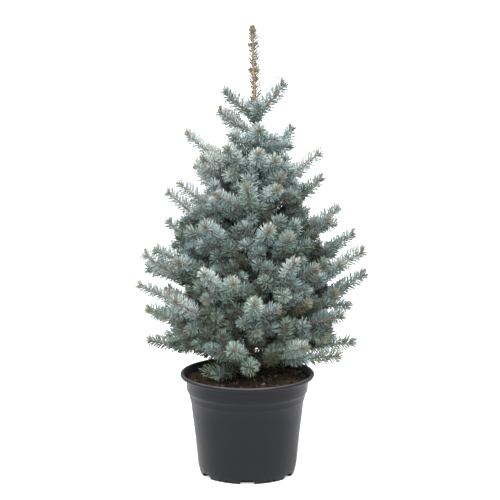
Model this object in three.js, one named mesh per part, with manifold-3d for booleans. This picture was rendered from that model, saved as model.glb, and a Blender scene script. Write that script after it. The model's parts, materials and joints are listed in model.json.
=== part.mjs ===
// A young blue spruce in a round nursery pot, standing on its own.
// Millimetres, +Z up. The origin is the middle of the pot's flat underside, and -Y is the plant's front.
//
// The pot is a moulded shell filled with soil. One trunk runs whole from the soil to the leader's bud.
// Limbs leave it in tiers. A lower limb is a bare bough that ends where its foliage begins, and an upper
// limb is foliage from the trunk out. Each foliage node is one stem with side twigs, all of them brushes
// of needles, and it keeps to the space that is nearer to its own twigs than to any other limb's.
import * as THREE from "three";
import { mergeVertices } from "three/addons/utils/BufferGeometryUtils.js";
import Module from "manifold-3d";

const wasm = await Module();
wasm.setup();

// ---- driving dimensions ----

const GAP = 0.3; // air between two pieces that touch
const POT = {
  height: 200,
  rimRadius: 130, // outside of the rolled bead
  bead: 4, // radius of the bead
  neckRadius: 118,
  neckHeight: 36, // of the bead and the wide band under it
  stepHeight: 14, // of the slope from the band in to the body
  shoulderRadius: 111.5, // of the body under the step
  footRadius: 96,
  footHeight: 24, // where the body starts to round in towards the underside
  baseRadius: 90,
  wall: 2.2,
  floor: 3,
  sides: 40,
};
const NOTCH = { count: 6, width: 27, height: 8.5, depth: 15 }; // drainage gaps between the feet
const SOIL = { drop: 10, mound: 4, moundRadius: 30 };
const TRUNK = {
  flare: 15, // radius at the soil
  base: 11,
  waist: 7.6,
  top: 3.4, // where the leader starts
  tip: 2.3,
  cut: 4, // length that the flat cut at the soil takes off
  sides: 10,
};
const LEADER = { foot: 715, tip: 866, budPairs: [788, 837] };
const BOUGH = { root: 4.6, tip: 3, bare: 0.34, sides: 6 };
// A brush has a slim body that needles stand out of. Pitch is from one ring of needles to the next, and
// lean is in degrees between a needle and its twig.
const BRUSH = { stem: 3, core: 6.2, pitch: 34, needle: 18, lean: 54, tip: 4, tuftAtLeast: 80 };
const LEADER_BRUSH = { stem: 3.4, core: 3, pitch: 13, needle: 14, lean: 48, tip: 3, tuftAtLeast: 0 };
// How far a limb's middle hangs, as a share of its length, by the height of its tip.
const SAG = [[380, -0.015], [460, 0.03], [560, 0.07], [640, 0.09], [675, 0.2], [715, 0.12]];
const FOOT_STEP = 5; // neighbours in a tier leave the trunk two or more of these steps apart
const TIP_NEEDLES = 10; // how far the last needles reach beyond the end of a limb's line
const TWIG = { shortest: 38, lean: 50, limbAtLeast: 60, twigAtLeast: 70 };
const SISTER_ROOM = [[0.3, 6], [0.6, 8], [1, 13]]; // air at shares of a needle, to its mass's other stems
const ROOM = 1.2; // how much nearer than any other limb's twigs a needle stays to its own limb's
const TWIG_ROOM = 7; // the same for a twig and its own limb
const NEIGHBOURHOOD = 80; // stems farther off than this can't meet
const SLIVER = 0.02; // features smaller than this are cleaned off a joined solid
const SEED = 11;

// Height of each tier's foot on the trunk, and its limbs as [azimuth in degrees, reach, height of the tip].
// Azimuth 0 is +X and 90 is +Y, and the reach is measured from the pot's axis. The first limbs of a low
// tier, as many as bare says, are bare boughs near the trunk.
const TIERS = [
  { foot: 700, bare: 0, limbs: [[185, 47, 754], [353, 73, 770], [305, 40, 735], [80, 34, 727]] },
  {
    foot: 655,
    bare: 0,
    limbs: [[172, 58, 714], [12, 92, 642], [288, 75, 690], [80, 76, 664], [238, 62, 677]],
  },
  { foot: 594, bare: 0, limbs: [[180, 119, 673], [36, 109, 673], [245, 95, 658], [300, 110, 634]] },
  { foot: 550, bare: 0, limbs: [[352, 144, 638], [150, 119, 600], [85, 130, 620], [297, 128, 582]] },
  { foot: 492, bare: 0, limbs: [[192, 136, 579], [270, 130, 589], [5, 147, 583], [130, 150, 575]] },
  {
    foot: 430,
    bare: 0,
    limbs: [[175, 157, 555], [240, 165, 519], [285, 162, 512], [10, 182, 520], [90, 170, 540]],
  },
  {
    foot: 365,
    bare: 0,
    limbs: [[150, 183, 481], [192, 184, 452], [298, 174, 498], [3, 210, 476], [55, 190, 490]],
  },
  {
    foot: 305,
    bare: 3,
    limbs: [[182, 202, 436], [245, 200, 437], [298, 195, 457], [358, 227, 444], [95, 200, 440]],
  },
  {
    foot: 258,
    bare: 2,
    limbs: [
      [185, 214, 379], [226, 205, 377], [274, 205, 383], [5, 231, 392], [330, 214, 337], [50, 215, 380],
    ],
  },
  {
    foot: 228,
    bare: 0,
    limbs: [
      [180, 195, 263], [262, 190, 290], [356, 211, 262], [120, 205, 300], [306, 190, 285], [204, 212, 347],
    ],
  },
  { foot: 212, bare: 0, limbs: [[272, 152, 248], [236, 112, 213], [60, 170, 262], [338, 195, 250]] },
];

// ---- small helpers ----

const radians = THREE.MathUtils.degToRad;
const UP = new THREE.Vector3(0, 0, 1);
const BACK = new THREE.Vector3(0, 1, 0);

// A number from 0 to 1 that is always the same for the same limb, twig and trait.
function chance(limb, twig, trait) {
  let h = Math.imul(limb * 7919 + twig * 131 + trait + SEED, 0x9e3779b1) >>> 0;
  h = Math.imul(h ^ (h >>> 15), 0x85ebca6b) >>> 0;
  h = Math.imul(h ^ (h >>> 13), 0xc2b2ae35) >>> 0;
  return ((h ^ (h >>> 16)) >>> 0) / 2 ** 32;
}

// The same from -1 to 1.
const sway = (limb, twig, trait) => 2 * chance(limb, twig, trait) - 1;

// A value that follows a list of [position, value] pairs, straight between them.
function along(stops, at) {
  if (at <= stops[0][0]) return stops[0][1];
  for (let i = 1; i < stops.length; i++) {
    const [a, from] = stops[i - 1];
    const [b, to] = stops[i];
    if (at <= b) return from + ((to - from) * (at - a)) / (b - a);
  }
  return stops[stops.length - 1][1];
}

// A closed geometry as a manifold-3d solid.
function solidOf(geometry) {
  const bare = geometry.clone();
  bare.deleteAttribute("normal");
  bare.deleteAttribute("uv");
  const merged = mergeVertices(bare, 1e-4);
  const index = Array.from(merged.index.array);
  const triVerts = [];
  for (let i = 0; i < index.length; i += 3) {
    const [a, b, c] = index.slice(i, i + 3);
    if (a !== b && b !== c && c !== a) triVerts.push(a, b, c);
  }
  const mesh = new wasm.Mesh({
    numProp: 3,
    vertProperties: merged.attributes.position.array,
    triVerts: new Uint32Array(triVerts),
  });
  return new wasm.Manifold(mesh);
}

// A manifold-3d solid as a geometry. Slivers are cleaned up, and only the largest body is kept.
function geometryOf(solid) {
  const [largest] = solid.simplify(SLIVER).decompose().sort((a, b) => b.volume() - a.volume());
  const mesh = largest.getMesh();
  const geometry = new THREE.BufferGeometry();
  geometry.setAttribute("position", new THREE.BufferAttribute(new Float32Array(mesh.vertProperties), 3));
  geometry.setIndex(new THREE.BufferAttribute(new Uint32Array(mesh.triVerts), 1));
  geometry.computeVertexNormals();
  return geometry;
}

function faceted(points, triangles) {
  const geometry = new THREE.BufferGeometry();
  const numbers = points.flatMap((p) => p.toArray());
  geometry.setAttribute("position", new THREE.Float32BufferAttribute(numbers, 3));
  geometry.setIndex(triangles.flat());
  return solidOf(geometry);
}

// A profile of [radius, height] pairs, turned round the Z axis.
function turned(profile, sides) {
  const points = profile.map(([radius, height]) => new THREE.Vector2(radius, height));
  return solidOf(new THREE.LatheGeometry(points, sides).rotateX(Math.PI / 2));
}

// Points of a ring square to a path. A path is any three.js curve, and t runs from 0 to 1 along it.
function ring(path, t, radius, sides, turn = 0) {
  const centre = path.getPointAt(t);
  const tangent = path.getTangentAt(t);
  const steady = Math.abs(tangent.z) > 0.9 ? BACK : UP;
  const side = new THREE.Vector3().crossVectors(tangent, steady).normalize();
  const lift = new THREE.Vector3().crossVectors(side, tangent);
  return Array.from({ length: sides }, (_, k) => {
    const angle = turn + (2 * Math.PI * k) / sides;
    const point = centre.clone().addScaledVector(side, radius * Math.cos(angle));
    return point.addScaledVector(lift, radius * Math.sin(angle));
  });
}

// A closed tapering limb. Stops are [t, radius] pairs, one for each ring.
function limbSolid(path, stops, sides) {
  const points = stops.flatMap(([t, radius]) => ring(path, t, radius, sides));
  const triangles = [];
  for (let i = 0; i + 1 < stops.length; i++) {
    for (let k = 0; k < sides; k++) {
      const a = i * sides + k;
      const b = i * sides + ((k + 1) % sides);
      triangles.push([a, b + sides, b], [a, a + sides, b + sides]);
    }
  }
  const last = (stops.length - 1) * sides;
  for (let k = 1; k + 1 < sides; k++) {
    triangles.push([0, k, k + 1], [last, last + k + 1, last + k]);
  }
  return faceted(points, triangles);
}

// A thin three-sided spike, for a needle or a bud.
function spike(foot, tip, radius, sides = 3) {
  const path = new THREE.LineCurve3(foot, tip);
  const points = [...ring(path, 0, radius, sides), tip];
  const triangles = [];
  for (let k = 0; k < sides; k++) triangles.push([k, sides, (k + 1) % sides]);
  for (let k = 1; k + 1 < sides; k++) triangles.push([0, k, k + 1]);
  return faceted(points, triangles);
}

// ---- pot and soil ----

const stepTop = POT.height - POT.neckHeight;
const stepFoot = stepTop - POT.stepHeight;
const stepRadius = POT.neckRadius - 1.5;
const soilTop = POT.height - SOIL.drop + SOIL.mound;

function potSolid() {
  const { height, rimRadius, bead, neckRadius, shoulderRadius, footRadius, baseRadius, wall, floor } = POT;
  const beadRadius = rimRadius - bead;
  const beadHeight = height - bead;
  const roundBead = [-145, -85, -25, 35, 95, 155].map((degrees) => [
    beadRadius + bead * Math.cos(radians(degrees)),
    beadHeight + bead * Math.sin(radians(degrees)),
  ]);
  const outside = [
    [0, 0],
    [baseRadius, 0],
    [footRadius - 3, POT.footHeight / 3],
    [footRadius, POT.footHeight],
    [shoulderRadius, stepFoot],
    [stepRadius, stepTop],
    [neckRadius, beadHeight - 6],
  ];
  const inside = [
    [neckRadius - wall, beadHeight - 4],
    [stepRadius - wall, stepTop],
    [shoulderRadius - wall, stepFoot],
    [footRadius - wall, POT.footHeight],
    [baseRadius, floor],
    [0, floor],
  ];
  let pot = turned([...outside, ...roundBead, ...inside], POT.sides);
  for (let i = 0; i < NOTCH.count; i++) {
    const cut = new THREE.BoxGeometry(2 * NOTCH.depth, NOTCH.width, 2 * NOTCH.height);
    cut.translate(footRadius, 0, 0).rotateZ(radians(30 + (360 / NOTCH.count) * i));
    pot = pot.subtract(solidOf(cut));
  }
  return pot;
}

// The soil fills the pot up to a low mound round the trunk.
function soilSolid() {
  const clear = POT.wall + GAP;
  return turned(
    [
      [0, POT.floor + GAP],
      [POT.baseRadius - 6, POT.floor + GAP],
      [POT.footRadius - clear - 1, POT.footHeight],
      [POT.shoulderRadius - clear, stepFoot],
      [stepRadius - clear, stepTop],
      [POT.neckRadius - clear - 0.5, POT.height - SOIL.drop],
      [SOIL.moundRadius, soilTop],
      [0, soilTop],
    ],
    POT.sides,
  );
}

// ---- trunk ----

const trunkFoot = soilTop + GAP;
// The trunk leans a little to +X up to its middle, and its leader comes back.
const trunkPath = new THREE.CatmullRomCurve3([
  new THREE.Vector3(1, 0, trunkFoot - TRUNK.cut),
  new THREE.Vector3(10, 0, 420),
  new THREE.Vector3(17, 2, 610),
  new THREE.Vector3(14.5, 1, LEADER.foot),
  new THREE.Vector3(9.5, 0, LEADER.tip),
]);
const trunkStops = [
  [trunkFoot, TRUNK.flare],
  [trunkFoot + 8, TRUNK.flare - 2.6],
  [trunkFoot + 24, TRUNK.base],
  [430, TRUNK.waist],
  [610, 5.2],
  [LEADER.foot - 15, TRUNK.top],
  [LEADER.tip, TRUNK.tip],
];
const trunkRadius = (height) => along(trunkStops, height);

// The point of the trunk's middle line at a height. The line rises all the way, so halving finds it.
function trunkAt(height) {
  let low = 0;
  let high = 1;
  for (let i = 0; i < 30; i++) {
    const middle = (low + high) / 2;
    if (trunkPath.getPointAt(middle).z < height) low = middle;
    else high = middle;
  }
  return trunkPath.getPointAt((low + high) / 2);
}

// The trunk up to the leader's foot, thicker all round by extra.
function trunkTube(extra) {
  const length = trunkPath.getLength();
  const rings = 9;
  const top = 1 - (LEADER.tip - LEADER.foot - 8) / length;
  const ts = [0, 8 / length, 24 / length];
  for (let i = 1; i <= rings; i++) ts.push(24 / length + ((top - 24 / length) * i) / rings);
  const stops = ts.map((t) => [t, trunkRadius(trunkPath.getPointAt(t).z) + extra]);
  return limbSolid(trunkPath, stops, TRUNK.sides);
}

// The trunk with its leader's buds and its few needles.
function trunkSolid() {
  const pieces = [trunkTube(0).trimByPlane([0, 0, 1], trunkFoot)];
  const bud = (height, degrees, rise, size) => {
    const foot = trunkAt(height);
    const out = new THREE.Vector3(Math.cos(radians(degrees)), Math.sin(radians(degrees)), rise).normalize();
    pieces.push(spike(foot, foot.clone().addScaledVector(out, size), size / 3.4, 5));
  };
  LEADER.budPairs.forEach((height, i) => {
    bud(height, 20 + 50 * i, 0.6, 11);
    bud(height - 5, 200 + 50 * i, 0.6, 11);
  });
  const crown = trunkAt(LEADER.tip).setZ(LEADER.tip - 4);
  pieces.push(spike(crown, crown.clone().setZ(LEADER.tip + 10), 4.2, 6));
  for (let i = 0; i < 3; i++) bud(LEADER.tip - 8, 120 * i, 1.1, 10);
  const needled = new THREE.LineCurve3(trunkAt(LEADER.foot), trunkAt(LEADER.tip - 10));
  const buds = [...LEADER.budPairs, ...LEADER.budPairs.map((height) => height - 5), LEADER.tip - 6];
  const clearOfBuds = ([a, b, c]) => buds.every((height) => Math.abs((a.z + b.z + c.z) / 3 - height) > 6);
  pieces.push(brushSolid(needled, 0, 0, LEADER_BRUSH, clearOfBuds));
  return wasm.Manifold.union(pieces);
}

// ---- limbs and twigs ----

const SECTORS = ["right", "back_right", "back", "back_left", "left", "front_left", "front", "front_right"];

// A limb's line, from the trunk's middle to near its tip. It leaves flat, and its end turns up.
function limbPath(foot, tip) {
  const middle = foot.clone().lerp(tip, 0.55);
  middle.z -= along(SAG, tip.z) * foot.distanceTo(tip);
  const end = tip.clone().lerp(middle, TIP_NEEDLES / tip.distanceTo(middle));
  return new THREE.QuadraticBezierCurve3(foot, middle, end);
}

const limbs = TIERS.flatMap((tier, tierNumber) =>
  tier.limbs.map(([azimuth, reach, height], i) => {
    const number = 10 * tierNumber + i;
    const turn = radians(azimuth);
    const rank = tier.limbs.filter(([other]) => other < azimuth).length;
    const level = ((2 * rank) % tier.limbs.length) - tier.limbs.length / 2;
    const foot = trunkAt(tier.foot + FOOT_STEP * level + 2 * sway(number, 0, 1));
    const tip = new THREE.Vector3(reach * Math.cos(turn), reach * Math.sin(turn), height);
    const path = limbPath(foot, tip);
    const name = `tier${tierNumber + 1}_${SECTORS[Math.round(azimuth / 45) % 8]}`;
    const start = i < tier.bare ? BOUGH.bare : 0;
    return { number, name, path, length: path.getLength(), start, twigs: [], key: 0 };
  }),
);

// Points along a path, for measuring distances to it.
const stations = (path, from, count) =>
  Array.from({ length: count + 1 }, (_, i) => path.getPointAt(from + ((1 - from) * i) / count));

function distanceToLine(point, line) {
  let nearest = Infinity;
  const segment = new THREE.Line3();
  const foot = new THREE.Vector3();
  for (let i = 0; i + 1 < line.length; i++) {
    segment.set(line[i], line[i + 1]).closestPointToPoint(point, true, foot);
    nearest = Math.min(nearest, foot.distanceToSquared(point));
  }
  return Math.sqrt(nearest);
}

const nearestOf = (point, lines) => Math.min(...lines.map((line) => distanceToLine(point, line)));

for (const limb of limbs) limb.line = stations(limb.path, 0, 8);

// Whether a point is clear of the trunk, the soil and the pot's rim.
function inTheOpen(point) {
  const axis = trunkAt(Math.max(point.z, trunkFoot));
  const fromTrunk = Math.hypot(point.x - axis.x, point.y - axis.y);
  const floor = Math.hypot(point.x, point.y) < POT.neckRadius - 12 ? soilTop + 14 : POT.height + 46;
  return point.z > floor && fromTrunk > trunkRadius(point.z) + 1;
}

// Year joints of a limb or twig, as distances back from its tip. Side twigs leave it there.
function yearJoints(length, order) {
  if (order > 0) return length < TWIG.twigAtLeast ? [] : [0.52 * length];
  if (length < TWIG.limbAtLeast) return [];
  const joints = [];
  let back = Math.min(95, 0.62 * length);
  for (let step = 54; back < 0.88 * length && joints.length < 4; step -= 6) {
    joints.push(back);
    back += step;
  }
  return joints;
}

// A side twig that leaves its parent's path at t, turned by lean from the parent and by roll round it.
function twigPath(parent, t, lean, roll, length) {
  const foot = parent.getPointAt(t);
  const tangent = parent.getTangentAt(t);
  const side = new THREE.Vector3().crossVectors(tangent, UP).normalize();
  const lift = new THREE.Vector3().crossVectors(side, tangent);
  const out = side.multiplyScalar(Math.cos(roll)).addScaledVector(lift, Math.sin(roll));
  const heading = tangent.clone().multiplyScalar(Math.cos(lean)).addScaledVector(out, Math.sin(lean));
  const middle = foot.clone().addScaledVector(heading, 0.5 * length);
  const tip = foot.clone().addScaledVector(heading, length).addScaledVector(tangent, 0.08 * length);
  tip.z += 0.06 * length;
  return new THREE.QuadraticBezierCurve3(foot, middle, tip);
}

// Twigs leave each joint in a pair. One hangs below it, and behind the first joint another stands above.
// Long twigs have twigs of their own.
function growTwigs(limb, parent, order, others) {
  yearJoints(parent.length, order).forEach((back, joint) => {
    const rolls = order > 0 ? [0, 180] : joint === 0 ? [0, 180, -90] : [0, 180, 90, -90];
    rolls.forEach((roll, i) => {
      const key = 20 * parent.key + 1 + 4 * joint + i;
      const t = 1 - (back + 7 * sway(limb.number, key, 2)) / parent.length;
      const share = (i < 2 ? 0.66 : 0.42) * (1 - 0.14 * joint) * (1 + 0.14 * sway(limb.number, key, 3));
      const lean = radians(TWIG.lean + 6 * sway(limb.number, key, 4));
      const turn = radians(roll + 18 * sway(limb.number, key, 5));
      if (order === 0 && t < limb.start + 0.04) return;
      for (const cut of [1, 0.85, 0.7, 0.58]) {
        const length = share * (back + 14) * cut;
        if (length < TWIG.shortest) return;
        const path = twigPath(parent.path, t, lean, turn, length);
        const clear = stations(path, 0.3, 4).every(
          (p) => distanceToLine(p, limb.line) + TWIG_ROOM < nearestOf(p, others) && inTheOpen(p),
        );
        if (clear) {
          const twig = { path, length, key };
          limb.twigs.push(twig);
          growTwigs(limb, twig, order + 1, others);
          return;
        }
      }
    });
  });
}

// ---- needles ----

// A brush is a slim three-sided body whose faces each carry one needle, leaning towards the brush's tip.
// hasRoom gets a needle's foot corners and tip, and says whether it fits there.
function brushSolid(path, from, bareTo, form, hasRoom) {
  const length = path.getLength();
  const bands = Math.max(2, Math.round(((1 - from) * length) / form.pitch));
  const points = [];
  const rings = [];
  for (let i = 0; i <= bands; i++) {
    const radius = i === 0 ? form.stem : i === bands ? 0.75 * form.core : form.core;
    const t = Math.min(1, from + ((1 - from) * i) / bands);
    rings.push([0, 1, 2].map((k) => 3 * i + k));
    points.push(...ring(path, t, radius, 3, (i % 2) * (Math.PI / 3)));
  }
  const triangles = [];
  const needleOn = (corners, heading) => {
    const [a, b, c] = corners.map((k) => points[k]);
    const middle = a.clone().add(b).add(c).divideScalar(3);
    const out = new THREE.Vector3().crossVectors(b.clone().sub(a), c.clone().sub(a)).normalize();
    const flat = out.addScaledVector(heading, -out.dot(heading)).normalize();
    const lean = radians(form.lean);
    const way = flat.multiplyScalar(Math.sin(lean)).addScaledVector(heading, Math.cos(lean));
    for (const share of [1, 0.8, 0.6]) {
      const tip = middle.clone().addScaledVector(way, form.needle * share);
      if (hasRoom([a, b, c], tip)) {
        points.push(tip);
        const top = points.length - 1;
        for (let k = 0; k < 3; k++) triangles.push([corners[k], corners[(k + 1) % 3], top]);
        return;
      }
    }
    triangles.push(corners);
  };
  for (let i = 0; i < bands; i++) {
    const heading = path.getTangentAt(Math.min(1, from + ((1 - from) * (i + 0.5)) / bands));
    const [low, high] = [rings[i], rings[i + 1]];
    for (let k = 0; k < 3; k++) {
      // The upper ring is turned half a step ahead of the lower one, or behind it.
      const ahead = i % 2 === 0 ? k : (k + 1) % 3;
      const faces = [
        [low[k], high[ahead], low[(k + 1) % 3]],
        [low[(k + 1) % 3], high[ahead], high[(ahead + 1) % 3]],
      ];
      const bare = i === 0 || from + ((1 - from) * i) / bands < bareTo;
      for (const face of faces) {
        if (bare) triangles.push(face);
        else needleOn(face, heading);
      }
    }
  }
  const plain = length < form.tuftAtLeast;
  const end = path.getPointAt(1).addScaledVector(path.getTangentAt(1), plain ? 2.5 * form.tip : form.tip);
  points.push(end);
  const tip = points.length - 1;
  const last = rings[bands];
  for (let k = 0; k < 3; k++) {
    const face = [last[(k + 1) % 3], last[k], tip];
    if (plain) triangles.push(face);
    else needleOn(face, path.getTangentAt(1));
  }
  triangles.push([...rings[0]]);
  return faceted(points, triangles);
}

// Whether a needle stays nearer to its own limb's lines than to every other limb's, and off its own twigs.
function roomFor(limb, own) {
  const others = limbs.filter((other) => other !== limb).flatMap((other) => other.lines);
  const near = others.filter((line) => line.some((p) => nearestOf(p, limb.lines) < NEIGHBOURHOOD));
  const sisters = limb.lines.filter((line) => line !== own);
  return (corners, tip) => {
    const foot = corners[0].clone().add(corners[1]).add(corners[2]).divideScalar(3);
    const samples = SISTER_ROOM.map(([share, room]) => [foot.clone().lerp(tip, share), room]);
    if (samples.some(([p, room]) => nearestOf(p, sisters) < room)) return false;
    for (const corner of corners) {
      for (const share of [0, 0.35, 0.7, 1]) {
        const p = corner.clone().lerp(tip, share);
        if (!inTheOpen(p) || nearestOf(p, limb.lines) + ROOM > nearestOf(p, near)) return false;
      }
    }
    return true;
  };
}

const trunkClearance = trunkTube(GAP);

function foliageSolid(limb) {
  const from = limb.start ? limb.start + GAP / limb.length : 0;
  const bareTo = limb.length < 110 ? 0 : limb.start + (1 - limb.start) * 0.22;
  const pieces = [brushSolid(limb.path, from, bareTo, BRUSH, roomFor(limb, limb.lines[0]))];
  limb.twigs.forEach((twig, i) => {
    pieces.push(brushSolid(twig.path, 0, 0, BRUSH, roomFor(limb, limb.lines[i + 1])));
  });

  return wasm.Manifold.union(pieces).subtract(trunkClearance);
}

function boughSolid(limb) {
  const stops = Array.from({ length: 5 }, (_, i) => [
    (limb.start * i) / 4,
    BOUGH.root + ((BOUGH.tip - BOUGH.root) * i) / 4,
  ]);
  return limbSolid(limb.path, stops, BOUGH.sides).subtract(trunkClearance);
}

// ---- the plant ----

const plastic = new THREE.MeshStandardMaterial({ color: 0x2c2d30, roughness: 0.45, metalness: 0 });
const earth = new THREE.MeshStandardMaterial({ color: 0x33261d, roughness: 1, metalness: 0 });
const bark = new THREE.MeshStandardMaterial({ color: 0x8a6a4c, roughness: 0.9, metalness: 0 });
const needles = new THREE.MeshStandardMaterial({ color: 0x7d9a9b, roughness: 0.7, metalness: 0 });

const plant = new THREE.Group();

function add(name, solid, material, into = plant) {
  const mesh = new THREE.Mesh(geometryOf(solid), material);
  mesh.name = name;
  into.add(mesh);
}

add("pot", potSolid(), plastic);
add("soil", soilSolid(), earth);
add("trunk", trunkSolid(), bark);

for (const limb of limbs) {
  const others = limbs.filter((other) => other !== limb).map((other) => other.line);
  growTwigs(limb, limb, 0, others);
}
for (const limb of limbs) {
  limb.lines = [stations(limb.path, limb.start, 8), ...limb.twigs.map((twig) => stations(twig.path, 0, 4))];
}
for (const limb of limbs) {
  const branch = new THREE.Group();
  if (limb.start) add(`bough_${limb.name}`, boughSolid(limb), bark, branch);
  add(`foliage_${limb.name}`, foliageSolid(limb), needles, branch);
  plant.add(branch);
}

export default plant;
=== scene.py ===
import json
import math

import bmesh
import bpy
import numpy as np
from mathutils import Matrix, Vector, noise

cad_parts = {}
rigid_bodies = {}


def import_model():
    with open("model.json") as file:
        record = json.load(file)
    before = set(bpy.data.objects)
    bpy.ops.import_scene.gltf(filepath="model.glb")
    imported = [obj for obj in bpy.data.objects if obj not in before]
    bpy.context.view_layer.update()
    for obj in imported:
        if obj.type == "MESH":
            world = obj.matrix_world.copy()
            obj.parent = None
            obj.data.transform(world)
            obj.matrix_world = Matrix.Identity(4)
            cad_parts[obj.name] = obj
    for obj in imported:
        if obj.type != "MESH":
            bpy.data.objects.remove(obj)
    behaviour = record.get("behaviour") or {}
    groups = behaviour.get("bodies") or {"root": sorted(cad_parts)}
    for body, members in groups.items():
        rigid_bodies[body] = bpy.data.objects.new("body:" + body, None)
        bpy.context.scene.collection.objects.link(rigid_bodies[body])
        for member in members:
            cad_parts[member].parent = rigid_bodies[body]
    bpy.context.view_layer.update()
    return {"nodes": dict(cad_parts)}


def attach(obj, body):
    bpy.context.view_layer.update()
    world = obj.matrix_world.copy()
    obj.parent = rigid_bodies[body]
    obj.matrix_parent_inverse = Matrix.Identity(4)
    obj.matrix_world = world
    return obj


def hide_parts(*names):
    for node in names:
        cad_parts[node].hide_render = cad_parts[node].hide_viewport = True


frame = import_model()
scene = bpy.context.scene
mm = 0.001
up = np.array([0.0, 0.0, 1.0])


def unit(v):
    return v / max(np.linalg.norm(v), 1e-9)


def along(stops, at):
    return float(np.interp(at, [s[0] for s in stops], [s[1] for s in stops]))


def addObject(name, mesh):
    piece = bpy.data.objects.new(name, mesh)
    scene.collection.objects.link(piece)
    return piece


def meshFrom(name, points, faces, edges=(), attributes=None):
    mesh = bpy.data.meshes.new(name)
    mesh.from_pydata([tuple(p) for p in points], [tuple(e) for e in edges], [tuple(f) for f in faces])
    for key, values in (attributes or {}).items():
        layer = mesh.attributes.new(key, "FLOAT", "POINT")
        layer.data.foreach_set("value", np.asarray(values, np.float32))
    mesh.update()
    return mesh


def smooth(mesh):
    mesh.shade_smooth()
    return mesh

def triangles(mesh):
    return sum(len(p.vertices) - 2 for p in mesh.polygons)

def facing(turn):
    return np.array([math.cos(turn), math.sin(turn), 0])

# The faces of a closed tube whose rings of points follow each other from the first point on.
def tubeFaces(first, sides, rings):
    last, faces = first + (rings - 1) * sides, []
    for ring in range(first, last, sides):
        for k in range(sides):
            a, b = ring + k, ring + (k + 1) % sides
            faces.append((a, b, b + sides, a + sides))
    return [*faces, list(range(first, first + sides))[::-1], list(range(last, last + sides))]


def place(piece, nodes):
    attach(piece, "root")
    if nodes:
        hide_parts(*nodes)


# Makes nodes in one tree and links them; a node given as a value stands for its first output.
class Nodes:
    def __init__(self, tree):
        self.tree = tree

    def add(self, kind, inputs=None, **settings):
        node = self.tree.nodes.new(kind)
        for key, value in settings.items():
            setattr(node, key, value)
        for key, value in (inputs or {}).items():
            self.feed(node.inputs[key], value)
        return node

    def feed(self, socket, value):
        if isinstance(value, bpy.types.NodeSocket):
            self.tree.links.new(value, socket)
        elif isinstance(value, bpy.types.Node):
            self.tree.links.new(value.outputs[0], socket)
        else:
            socket.default_value = value

    def math(self, operation, a, b=0.0, c=None):
        inputs = {0: a, 1: b}
        if c is not None:
            inputs[2] = c
        return self.add("ShaderNodeMath", inputs, operation=operation).outputs[0]

    def between(self, value, low, high, toLow, toHigh):
        names = {"Value": value, "From Min": low, "From Max": high, "To Min": toLow, "To Max": toHigh}
        return self.add("ShaderNodeMapRange", names, clamp=True).outputs[0]


def newMaterial(name, roughness, specular=0.5):
    made = bpy.data.materials.new(name)
    made.use_nodes = True
    nodes = Nodes(made.node_tree)
    shader = made.node_tree.nodes["Principled BSDF"]
    shader.inputs["Roughness"].default_value = roughness
    shader.inputs["Specular IOR Level"].default_value = specular
    return made, nodes, shader


def objectNoise(nodes, scale, detail=3.0, stretch=(1, 1, 1), roughness=0.5):
    where = nodes.add("ShaderNodeTexCoord").outputs["Object"]
    turned = nodes.add("ShaderNodeMapping", {"Vector": where, "Scale": stretch})
    made = nodes.add("ShaderNodeTexNoise", {
        "Vector": turned, "Scale": scale, "Detail": detail, "Roughness": roughness})
    return made.outputs[0]


def ramp(nodes, factor, stops):
    made = nodes.add("ShaderNodeValToRGB", {"Fac": factor})
    elements = made.color_ramp.elements
    while len(elements) < len(stops):
        elements.new(0.5)
    for element, (at, colour) in zip(elements, stops):
        element.position = at
        element.color = (*colour, 1)
    return made.outputs[0]


def bump(nodes, shader, height, strength, distance):
    made = nodes.add("ShaderNodeBump", {"Height": height, "Strength": strength, "Distance": distance})
    nodes.feed(shader.inputs["Normal"], made)

def mixColours(nodes, factor, first, second):
    mixed = nodes.add("ShaderNodeMix", {"Factor": factor, "A": first, "B": second}, data_type="RGBA")
    return mixed.outputs["Result"]


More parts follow.
